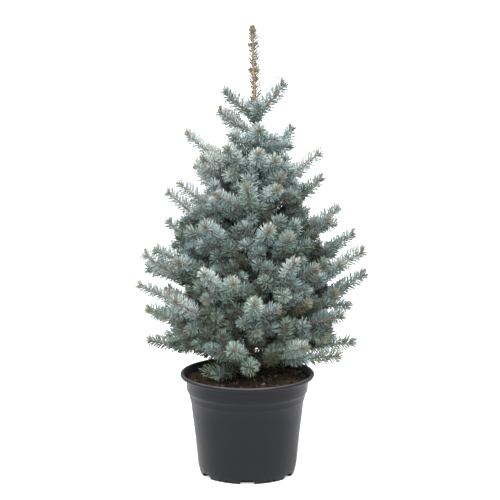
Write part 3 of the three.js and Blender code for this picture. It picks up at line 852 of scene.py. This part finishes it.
leaderNeedles = needleSprays.grow(leaderCarrier(), "needlesLeader", **{
    "Spacing": leaderNeedle["spacing"], "Length": leaderNeedle["length"], "Width": leaderNeedle["width"],
    "Lean": leaderNeedle["lean"], "Tip Lean": leaderNeedle["tipLean"]})
needlePieces.append((addObject("needlesLeader", leaderNeedles), []))
for piece, chosen in needlePieces:
    place(piece, [f"foliage_{limb['name']}" for limb in chosen])
bpy.data.objects.remove(shape)


# All twigs are one piece of tubes.
twig = {"foot": 1.4, "tip": 0.7, "sides": 6}


def twigCarrier():
    points, edges, thick = [], [], []
    for limb in [*limbs, trunkOwn]:
        for stem in limb["stems"]:
            if stem is limb:
                continue
            length = stem["length"]
            foot = twig["tip"] + (twig["foot"] - twig["tip"]) * min(1, length / 120)
            for i, t in enumerate(np.linspace(0, 1, max(3, int(length / 8)) + 1)):
                if i:
                    edges.append((len(points) - 1, len(points)))
                points.append(stem["path"].at(t) * mm)
                thick.append((foot + (twig["tip"] * 0.8 - foot) * t) * mm)
    return meshFrom("twigCarrier", points, [], edges, {"thick": thick})


twigs = addObject("twigs", twigTree().grow(twigCarrier(), "twigs", Sides=twig["sides"]))
place(twigs, [])
print("stage: twigs,", triangles(twigs.data), "triangles")


# Buds stand at the tips, and in pairs up the leader.
bud = {"length": 0.0055, "width": 0.0017}


def budShape():
    rings, points, faces, sides = [(0, 0.6), (0.4, 1), (0.75, 0.62)], [], [], 5
    for level, (height, radius) in enumerate(rings):
        for k in range(sides):
            turn = 2 * math.pi * (k + 0.5 * level) / sides
            points.append((radius * math.cos(turn), radius * math.sin(turn), height))
    for level in range(len(rings) - 1):
        for k in range(sides):
            a, b = level * sides + k, level * sides + (k + 1) % sides
            c, d = a + sides, b + sides
            faces += [(a, b, d), (a, d, c)] if level % 2 else [(a, b, c), (b, d, c)]
    points += [(0, 0, 1), (0, 0, 0)]
    top = (len(rings) - 1) * sides
    faces += [(top + k, top + (k + 1) % sides, len(points) - 2) for k in range(sides)]
    faces += [((k + 1) % sides, k, len(points) - 1) for k in range(sides)]
    return addObject("budShape", smooth(meshFrom("budShape", points, faces)))


def budTree(shape):
    tree = Tree("budsOnTips", {"Bud": shape, "Seed": seed})
    way = tree.add("GeometryNodeInputNamedAttribute", {"Name": "way"}, data_type="FLOAT_VECTOR").outputs[0]
    turned = tree.add("FunctionNodeAlignRotationToVector", {"Vector": way}, axis="Z")
    size = tree.math("MULTIPLY", tree.attribute("size"), tree.random(0.85, 1.15, tree.given["Seed"]))
    width = tree.math("MULTIPLY", size, bud["width"])
    scale = tree.add("ShaderNodeCombineXYZ", {
        "X": width, "Y": width, "Z": tree.math("MULTIPLY", size, bud["length"])})
    shapeIn = tree.add("GeometryNodeObjectInfo", {"Object": tree.given["Bud"]})
    placed = tree.add("GeometryNodeInstanceOnPoints", {
        "Points": tree.given["Geometry"], "Instance": shapeIn.outputs["Geometry"],
        "Rotation": turned, "Scale": scale})
    last = tree.add("GeometryNodeRealizeInstances", {"Geometry": placed})
    tree.feed(tree.result, tree.add("GeometryNodeSetMaterial", {"Geometry": last, "Material": budScale}))
    return tree


def budCarrier():
    points, ways, sizes = [], [], []

    def put(point, way, size):
        points.append(point * mm)
        ways.append(unit(way))
        sizes.append(size)

    for limb in [*limbs, trunkOwn]:
        for stem in limb["stems"]:
            tip, way = stem["path"].at(1.0), stem["path"].tangent(1.0)
            side = unit(np.cross(way, up))
            size = 1.0 if stem["length"] > 60 else 0.72
            put(tip - 0.5 * way, way, size)
            if stem["order"] < 1:
                for k in (-1, 1):
                    put(tip - 1.5 * way, way + 1.1 * k * side, 0.72 * size)
    for height, first in zip(leader["budPairs"], (-12, 14)):
        for half in (0, 180):
            out = facing(math.radians(first + half))
            put(trunkAt(height) + 1.5 * out, out + 0.4 * up, 1.9)
    for k in range(5):
        out = facing(math.radians(72 * k + 10))
        put(trunkAt(leader["tip"] - 5) + 1.2 * out, 0.8 * out + up, 1.7)
        put(trunkAt(leader["tip"]) + 1.7 * out - 1.5 * up, 0.22 * out + up, 2.2)
    carrier = meshFrom("budCarrier", points, [], attributes={"size": sizes})
    layer = carrier.attributes.new("way", "FLOAT_VECTOR", "POINT")
    layer.data.foreach_set("vector", np.asarray(ways, np.float32).ravel())
    return carrier


shape = budShape()
buds = addObject("buds", budTree(shape).grow(budCarrier(), "buds"))
bpy.data.objects.remove(shape)
place(buds, [])
print("stage: buds,", triangles(buds.data), "triangles")


# Trunk and boughs, with the bark's relief.
bark = {
    "trunkSides": 36, "trunkStep": 3, "limbSides": 8, "limbStep": 4.5,
    "relief": 0.75, "flareLobes": 5, "buried": 3,
}


def barkRelief(point, depth):
    grain = noise.fractal(Vector((point[0] * 0.16, point[1] * 0.16, point[2] * 0.07)), 1.0, 2.1, 4)
    scales = noise.cell(Vector((point[0] * 0.22, point[1] * 0.22, point[2] * 0.12)))
    return depth * (0.9 * grain + 0.5 * (scales - 0.5))


def barkTube(points, faces, young, stations, sides, radiusAt, youngAt, relief):
    first = len(points)
    side = None
    for i, centre in enumerate(stations):
        tangent = unit(stations[min(i + 1, len(stations) - 1)] - stations[max(i - 1, 0)])
        side = np.array([1.0, 0, 0]) if side is None else side
        side = unit(side - tangent * np.dot(side, tangent))
        other = np.cross(tangent, side)
        for k in range(sides):
            turn = 2 * math.pi * k / sides
            out = side * math.cos(turn) + other * math.sin(turn)
            radius = radiusAt(i, turn)
            radius += barkRelief(centre + out * radius, relief(i))
            points.append((centre + out * radius) * mm)
            young.append(youngAt(i))
    faces += tubeFaces(first, sides, len(stations))


def barkMesh():
    points, faces, young = [], [], []
    heights = np.arange(trunkFoot - bark["buried"], leader["tip"], bark["trunkStep"])
    stations = [trunkAt(max(h, trunkFoot)) + (0, 0, min(0, h - trunkFoot)) for h in heights]

    def trunkRadius(i, turn):
        above = max(0, heights[i] - trunkFoot)
        lobes = 1 + 0.13 * math.exp(-above / 14) * math.cos(bark["flareLobes"] * turn + 0.6)
        return along(trunkStops, heights[i]) * lobes

    def trunkYoung(i):
        return float(np.interp(heights[i], [430, 640, 715], [0.0, 0.45, 0.95]))

    barkTube(points, faces, young, stations, bark["trunkSides"], trunkRadius, trunkYoung,
             lambda i: bark["relief"] * float(np.interp(heights[i], [200, 500, 760], [1.2, 0.7, 0.3])))
    for limb in limbs:
        count = int(limb["length"] / bark["limbStep"])
        share = np.linspace(0, 1, count + 1)
        foot = bough["slender"] + (bough["root"] - bough["slender"]) * min(1, limb["length"] / 220)

        def limbRadius(i, turn):
            swell = 1.2 * math.exp(-share[i] * limb["length"] / 6)  # where it leaves the trunk
            return foot + (bough["tip"] - foot) * share[i] + swell

        barkTube(points, faces, young, [limb["path"].at(t) for t in share], bark["limbSides"], limbRadius,
                 lambda i: float(np.interp(share[i], [0.1, 0.8], [0.05, 0.5])),
                 lambda i: bark["relief"] * 0.5 * (1 - 0.6 * share[i]))
    return meshFrom("barkTrunkAndBoughs", points, faces, attributes={"young": young})


trunkAndBoughs = addObject("barkTrunkAndBoughs", smooth(barkMesh()))
trunkAndBoughs.data.materials.append(stemBark)
boughNodes = sorted(name for name in frame["nodes"] if name.startswith("bough_"))
place(trunkAndBoughs, ["trunk", *boughNodes])
print("stage: trunk and boughs,", triangles(trunkAndBoughs.data), "triangles")


potWall = {"sides": 180, "slitWidth": 3.4, "slitHeight": 6.5, "cornerSteps": 6}
potProfile = [  # radius and height, up the outside, over the rim and down the inside
    (88.6, 0), (90.4, 0.6), (91.4, 3), (93.2, 10), (93.8, 12), (94.2, 14),
    (95.6, 22), (98.0, 47), (100.6, 71), (103.4, 95), (106.6, 120), (109.6, 146),
    (111.2, 148.6), (111.6, 150), (111.9, 152), (113.0, 158), (114.6, 162.6), (116.4, 164.6),
    (117.2, 166.6), (117.8, 176), (118.6, 188.6), (119.6, 190.6), (122.5, 191.6), (125.0, 191.4),
    (127.2, 191.8), (129.0, 193.2), (130.0, 195.6), (129.6, 197.8), (128.2, 199.4), (126.4, 200),
    (124.4, 199.6), (122.4, 197.8), (120.2, 194.6), (118.2, 191.6), (116.6, 188.0), (115.4, 176),
    (114.4, 168), (113.0, 165), (110.6, 160), (109.5, 152), (107.2, 146), (104.2, 120),
    (98.2, 71), (93.2, 22), (91.6, 10), (89.0, 4.0), (85, 3),
]


def potShell():
    points, sides = [], potWall["sides"]
    for radius, height in potProfile:
        for k in range(sides):
            turn = 2 * math.pi * k / sides
            points.append((radius * mm * math.cos(turn), radius * mm * math.sin(turn), height * mm))
    return meshFrom("pot", points, tubeFaces(0, sides, len(potProfile)))


# A block with round upper corners that cuts one opening through the foot of the wall.
def footCutter(turn, width, height, depth):
    outline, corner, steps = [], min(0.45 * width, 0.6 * height), potWall["cornerSteps"]
    for side in (1, -1):
        for k in range(steps + 1):
            bend = math.radians(90 * (k if side > 0 else steps - k) / steps)
            across = side * (0.5 * width - corner + corner * math.cos(bend))
            outline.append((across, height - corner + corner * math.sin(bend)))
    outline = [(0.5 * width, -2), *outline, (-0.5 * width, -2)]
    points = []
    for radius in (pot["baseRadius"] - depth, pot["footRadius"] + 6):
        for across, level in outline:
            points.append((radius * math.cos(turn) - across * math.sin(turn),
                           radius * math.sin(turn) + across * math.cos(turn), level))
    count = len(outline)
    faces = [(k, (k + 1) % count, count + (k + 1) % count, count + k) for k in range(count)]
    faces += [list(range(count))[::-1], list(range(count, 2 * count))]
    return [np.array(p) * mm for p in points], faces


def footCutters():
    points, faces = [], []
    openings = [(30 + 60 * i, notch["width"], notch["height"], notch["depth"]) for i in range(notch["count"])]
    openings += [(60 * i + side, potWall["slitWidth"], potWall["slitHeight"], 4)
                 for i in range(notch["count"]) for side in (-4, 4)]
    for azimuth, width, height, depth in openings:
        some, more = footCutter(math.radians(azimuth), width, height, depth)
        faces += [[len(points) + k for k in face] for face in more]
        points += some
    made = addObject("footCutters", meshFrom("footCutters", points, faces))
    fixNormals(made.data)
    return made


def fixNormals(mesh):
    held = bmesh.new()
    held.from_mesh(mesh)
    bmesh.ops.recalc_face_normals(held, faces=held.faces)
    held.to_mesh(mesh)
    held.free()


def applied(piece):
    bpy.context.view_layer.update()
    made = bpy.data.meshes.new_from_object(piece.evaluated_get(bpy.context.evaluated_depsgraph_get()))
    piece.modifiers.clear()
    piece.data = made


def makePotPlastic():
    made, nodes, shader = newMaterial("potPlastic", 0.42, 0.17)
    where = nodes.add("ShaderNodeTexCoord").outputs["Object"]
    dust = objectNoise(nodes, 14, 6, (1, 1, 0.5), 0.65)
    height = nodes.add("ShaderNodeSeparateXYZ", {"Vector": where}).outputs["Z"]
    low = nodes.between(height, 0.0, 0.05, 0.35, 0.0)
    dustAndRimHighlight = nodes.math("ADD", nodes.math("MULTIPLY", low, dust), nodes.math("MULTIPLY", dust, 0.35))
    scratch = objectNoise(nodes, 60, 8, (1, 1, 9), 0.8)
    scuff = nodes.math("MULTIPLY", nodes.math("GREATER_THAN", scratch, 0.74), 0.2)
    # The bead's top is painted lighter: a painted highlight along the rim, mottled by the dust noise.
    rim = nodes.between(height, 0.1965, 0.1995, 0.0, 0.85)
    dustAndRimHighlight = nodes.math("ADD", dustAndRimHighlight, nodes.math("MULTIPLY", rim, nodes.math("ADD", dust, 0.45)))
    colour = ramp(nodes, nodes.math("ADD", dustAndRimHighlight, scuff), [
        (0.05, (0.0036, 0.0039, 0.0062)), (0.45, (0.0053, 0.0057, 0.0084)),
        (0.8, (0.05, 0.05, 0.053)), (1.0, (0.09, 0.09, 0.094))])
    nodes.feed(shader.inputs["Base Color"], colour)
    nodes.feed(shader.inputs["Roughness"], ramp(nodes, dust, [(0.3, (0.36,) * 3), (0.75, (0.52,) * 3)]))
    relief = nodes.math("ADD", objectNoise(nodes, 1400, 3), nodes.math("MULTIPLY", scratch, 0.4))
    bump(nodes, shader, relief, 0.12, 0.0004)
    return made


potPlastic = makePotPlastic()
potBody = addObject("potShell", potShell())
cutters = footCutters()
cut = potBody.modifiers.new("openings", "BOOLEAN")
cut.operation, cut.solver, cut.object = "DIFFERENCE", "EXACT", cutters
applied(potBody)
bpy.data.objects.remove(cutters)
potBody.data.shade_smooth()
potBody.data.set_sharp_from_angle(angle=math.radians(38))
potBody.data.materials.clear()
potBody.data.materials.append(potPlastic)
place(potBody, ["pot"])
print("stage: pot,", triangles(potBody.data), "triangles")


# A rough mound with crumbs of bark and peat, and a few patches of moss.
ground = {"rings": 58, "sides": 190, "edge": 115.3, "rough": 2.6, "low": 13}
crumb = {"density": 42000.0, "smallest": 0.0008, "largest": 0.0058, "shares": (-1.0, 0.56, 0.9, 0.97)}
mossPatches = [(-0.07, -0.058, 0.034), (0.078, -0.046, 0.032), (0.03, 0.08, 0.024)]


def soilHeight(x, y):
    r = math.hypot(x, y)
    base = soilTop - soil["mound"] + soil["mound"] * max(0, 1 - r / 110) - 1.2
    rough = noise.fractal(Vector((x * 0.045, y * 0.045, 3.1)), 0.9, 2.2, 5)
    return base + ground["rough"] * rough - 1.5 * max(0, (r - 100) / 15)


def soilMesh():
    points, faces = [(0, 0, soilHeight(0, 0) * mm)], []
    rings, sides = ground["rings"], ground["sides"]
    for level in range(1, rings + 1):
        radius = ground["edge"] * level / rings
        for k in range(sides):
            turn = 2 * math.pi * (k + 0.5 * (level % 2)) / sides
            x, y = radius * math.cos(turn), radius * math.sin(turn)
            points.append((x * mm, y * mm, soilHeight(x, y) * mm))
    for k in range(sides):
        faces.append((0, 1 + k, 1 + (k + 1) % sides))
    for level in range(rings - 1):
        for k in range(sides):
            a, b = 1 + level * sides + k, 1 + level * sides + (k + 1) % sides
            faces.append((a, a + sides, b + sides, b))
    last, bottom = 1 + (rings - 1) * sides, len(points)
    depth = (soilTop - soil["mound"] - ground["low"]) * mm
    for k in range(sides):
        x, y = points[last + k][:2]
        points.append((x * 0.985, y * 0.985, depth))
    for k in range(sides):
        a, b = last + k, last + (k + 1) % sides
        faces.append((a, bottom + k, bottom + (k + 1) % sides, b))
    faces.append([bottom + k for k in range(sides)][::-1])
    return meshFrom("soilGround", points, faces)


def mossAmount(nodes):
    where = nodes.add("ShaderNodeTexCoord").outputs["Object"]
    total = None
    for x, y, radius in mossPatches:
        away = nodes.add("ShaderNodeVectorMath", {0: where, 1: (x, y, 0.19)}, operation="DISTANCE")
        near = nodes.between(away.outputs["Value"], radius * 0.4, radius, 1.0, 0.0)
        total = near if total is None else nodes.math("MAXIMUM", total, near)
    broken = nodes.math("MULTIPLY_ADD", objectNoise(nodes, 130, 4), 1.6, -0.35)
    return nodes.math("MULTIPLY", total, broken)


def soilMaterial(name, dark, light, scale, roughness, moss):
    made, nodes, shader = newMaterial(name, roughness, 0.2)
    patches = nodes.math("MULTIPLY_ADD", objectNoise(nodes, 48, 3), 1.0, -0.52)
    grain = nodes.math("ADD", objectNoise(nodes, scale, 6, roughness=0.7), patches)
    colour = ramp(nodes, grain, [(0.3, dark), (0.7, light)])
    if moss:
        mossColour = ramp(nodes, objectNoise(nodes, 500, 3), [
            (0.3, (0.045, 0.045, 0.014)), (0.7, (0.17, 0.15, 0.055))])
        colour = mixColours(nodes, mossAmount(nodes), colour, mossColour)
    nodes.feed(shader.inputs["Base Color"], colour)
    bump(nodes, shader, objectNoise(nodes, scale * 3, 6, roughness=0.75), 0.9, 0.0012)
    return made


soilPeat = soilMaterial("soilPeat", (0.01, 0.007, 0.0055), (0.07, 0.05, 0.037), 260, 0.95, True)
crumbTones = [
    soilMaterial("crumbPeat", (0.016, 0.011, 0.008), (0.07, 0.045, 0.03), 420, 0.95, False),
    soilMaterial("crumbBark", (0.04, 0.026, 0.018), (0.13, 0.086, 0.058), 420, 0.9, False),
    soilMaterial("crumbLight", (0.1, 0.075, 0.055), (0.3, 0.24, 0.18), 420, 0.9, False),
    soilMaterial("crumbMoss", (0.03, 0.045, 0.012), (0.1, 0.13, 0.04), 420, 0.95, False),
]


def crumbShapes():
    home = bpy.data.collections.new("crumbShapes")
    scene.collection.children.link(home)
    for number, (flat, wide) in enumerate([(0.8, 0.85), (0.42, 0.7), (0.55, 0.5), (0.3, 0.35)]):
        points, faces = [], []
        for level, (height, radius) in enumerate([(-0.7, 0.62), (0.05, 1.0), (0.72, 0.58)]):
            for k in range(5):
                turn = 2 * math.pi * (k + 0.3 * level) / 5
                reach = radius * (1 + 0.28 * sway(number, k + 5 * level, 50))
                points.append((reach * math.cos(turn), wide * reach * math.sin(turn), flat * height))
        for level in (0, 1):
            for k in range(5):
                a, b = 5 * level + k, 5 * level + (k + 1) % 5
                faces += [(a, b, b + 5), (a, b + 5, a + 5)]
        faces += [(4, 3, 2, 1, 0), (10, 11, 12, 13, 14)]
        piece = bpy.data.objects.new(f"crumbShape{number}", meshFrom("crumbShape", points, faces))
        home.objects.link(piece)
    return home


def crumbTree(home):
    tree = Tree("soilCrumbs", {
        "Density": crumb["density"], "Smallest": crumb["smallest"],
        "Largest": crumb["largest"], "Seed": seed})
    given = tree.given
    level = tree.add("ShaderNodeSeparateXYZ", {"Vector": tree.add("GeometryNodeInputNormal")}).outputs["Z"]
    upward = tree.add("FunctionNodeCompare", data_type="FLOAT", operation="GREATER_THAN")
    tree.feed(upward.inputs[0], level)
    upward.inputs[1].default_value = 0.3
    points = tree.add("GeometryNodeDistributePointsOnFaces", {
        "Mesh": given["Geometry"], "Selection": upward, "Density": given["Density"], "Seed": given["Seed"]})
    choice = tree.draw(0.0, 1.0, 1)
    store = tree.add("GeometryNodeStoreNamedAttribute", {
        "Geometry": points.outputs["Points"], "Name": "choice", "Value": choice},
        data_type="FLOAT", domain="POINT")
    euler = tree.add("ShaderNodeCombineXYZ", {
        "X": tree.draw(-0.7, 0.7, 2),
        "Y": tree.draw(-0.7, 0.7, 3),
        "Z": tree.draw(0.0, 6.283, 4)})
    few = tree.math("POWER", tree.draw(0.0, 1.0, 5), 2.6)
    spread = tree.math("SUBTRACT", given["Largest"], given["Smallest"])
    size = tree.math("MULTIPLY_ADD", few, spread, given["Smallest"])
    shapes = tree.add("GeometryNodeCollectionInfo", {
        "Collection": home, "Separate Children": True, "Reset Children": True})
    placed = tree.add("GeometryNodeInstanceOnPoints", {
        "Points": store, "Instance": shapes, "Pick Instance": True,
        "Rotation": tree.add("FunctionNodeEulerToRotation", {0: euler}), "Scale": size})
    picked = tree.add("FunctionNodeRandomValue", data_type="INT")
    for key, value in (("Min", 0), ("Max", 3)):
        next(s for s in picked.inputs if s.name == key and s.type == "INT").default_value = value
    tree.feed(picked.inputs["Seed"], tree.math("ADD", given["Seed"], 6))
    tree.feed(placed.inputs["Instance Index"], next(s for s in picked.outputs if s.type == "INT"))
    last = tree.add("GeometryNodeRealizeInstances", {"Geometry": placed})
    for low, material in zip(crumb["shares"], crumbTones):
        last = tree.paint(last, tree.attribute("choice"), "GREATER_THAN", low, material)
    tree.feed(tree.result, last)
    return tree


groundMesh = soilMesh()
shapesHome = crumbShapes()
crumbs = addObject("soilCrumbs", crumbTree(shapesHome).grow(groundMesh.copy(), "soilCrumbs"))
for piece in list(shapesHome.objects):
    bpy.data.objects.remove(piece)
bpy.data.collections.remove(shapesHome)
place(crumbs, [])
soilGround = addObject("soilGround", smooth(groundMesh))
soilGround.data.materials.append(soilPeat)
place(soilGround, ["soil"])
print("stage: soil,", triangles(crumbs.data), "crumb triangles")


studio = {
    "world": 0.34, "sun": 7.2, "sunSpread": 72, "sunTurn": (38, 0, -2),
    "floor": 0.93, "floorHalf": 40, "glow": 0.36,
}
view = {"sensor": 36, "lens": 216, "reach": 200, "at": (0.0052271, -5.632745, 1.631769), "pitch": 78.067}


def makeFloor():
    half = studio["floorHalf"]
    corners = [(-half, -half, 0), (half, -half, 0), (half, half, 0), (-half, half, 0)]
    floor = addObject("floor", meshFrom("floor", corners, [(0, 1, 2, 3)]))
    made, nodes, shader = newMaterial("studioFloor", 0.9, 0.0)
    nodes.feed(shader.inputs["Base Color"], ramp(nodes, objectNoise(nodes, 0.5, 2), [
        (0.3, (studio["floor"],) * 3), (0.7, (studio["floor"] + 0.01,) * 3)]))
    shader.inputs["Emission Color"].default_value = (1, 1, 1, 1)
    shader.inputs["Emission Strength"].default_value = studio["glow"]
    floor.data.materials.append(made)


def makeLight():
    world = bpy.data.worlds.new("studio")
    world.use_nodes = True
    nodes, sky = Nodes(world.node_tree), world.node_tree.nodes["Background"]
    sky.inputs["Color"].default_value = (1, 1, 1, 1)
    seen = nodes.add("ShaderNodeLightPath").outputs["Is Camera Ray"]
    nodes.feed(sky.inputs["Strength"], nodes.math("MAXIMUM", seen, studio["world"]))
    scene.world = world
    sun = bpy.data.lights.new("softbox", "SUN")
    sun.energy, sun.angle = studio["sun"], math.radians(studio["sunSpread"])
    lamp = addObject("softbox", sun)
    lamp.rotation_euler = [math.radians(turn) for turn in studio["sunTurn"]]


def makeCamera():
    lens = bpy.data.cameras.new("camera")
    lens.sensor_width, lens.lens, lens.clip_end = view["sensor"], view["lens"], view["reach"]
    camera = addObject("camera", lens)
    camera.location = view["at"]
    camera.rotation_euler = (math.radians(view["pitch"]), 0, 0)
    scene.camera = camera


makeFloor()
makeLight()
makeCamera()
scene.view_settings.view_transform = "Standard"
print("stage: floor, light and camera")
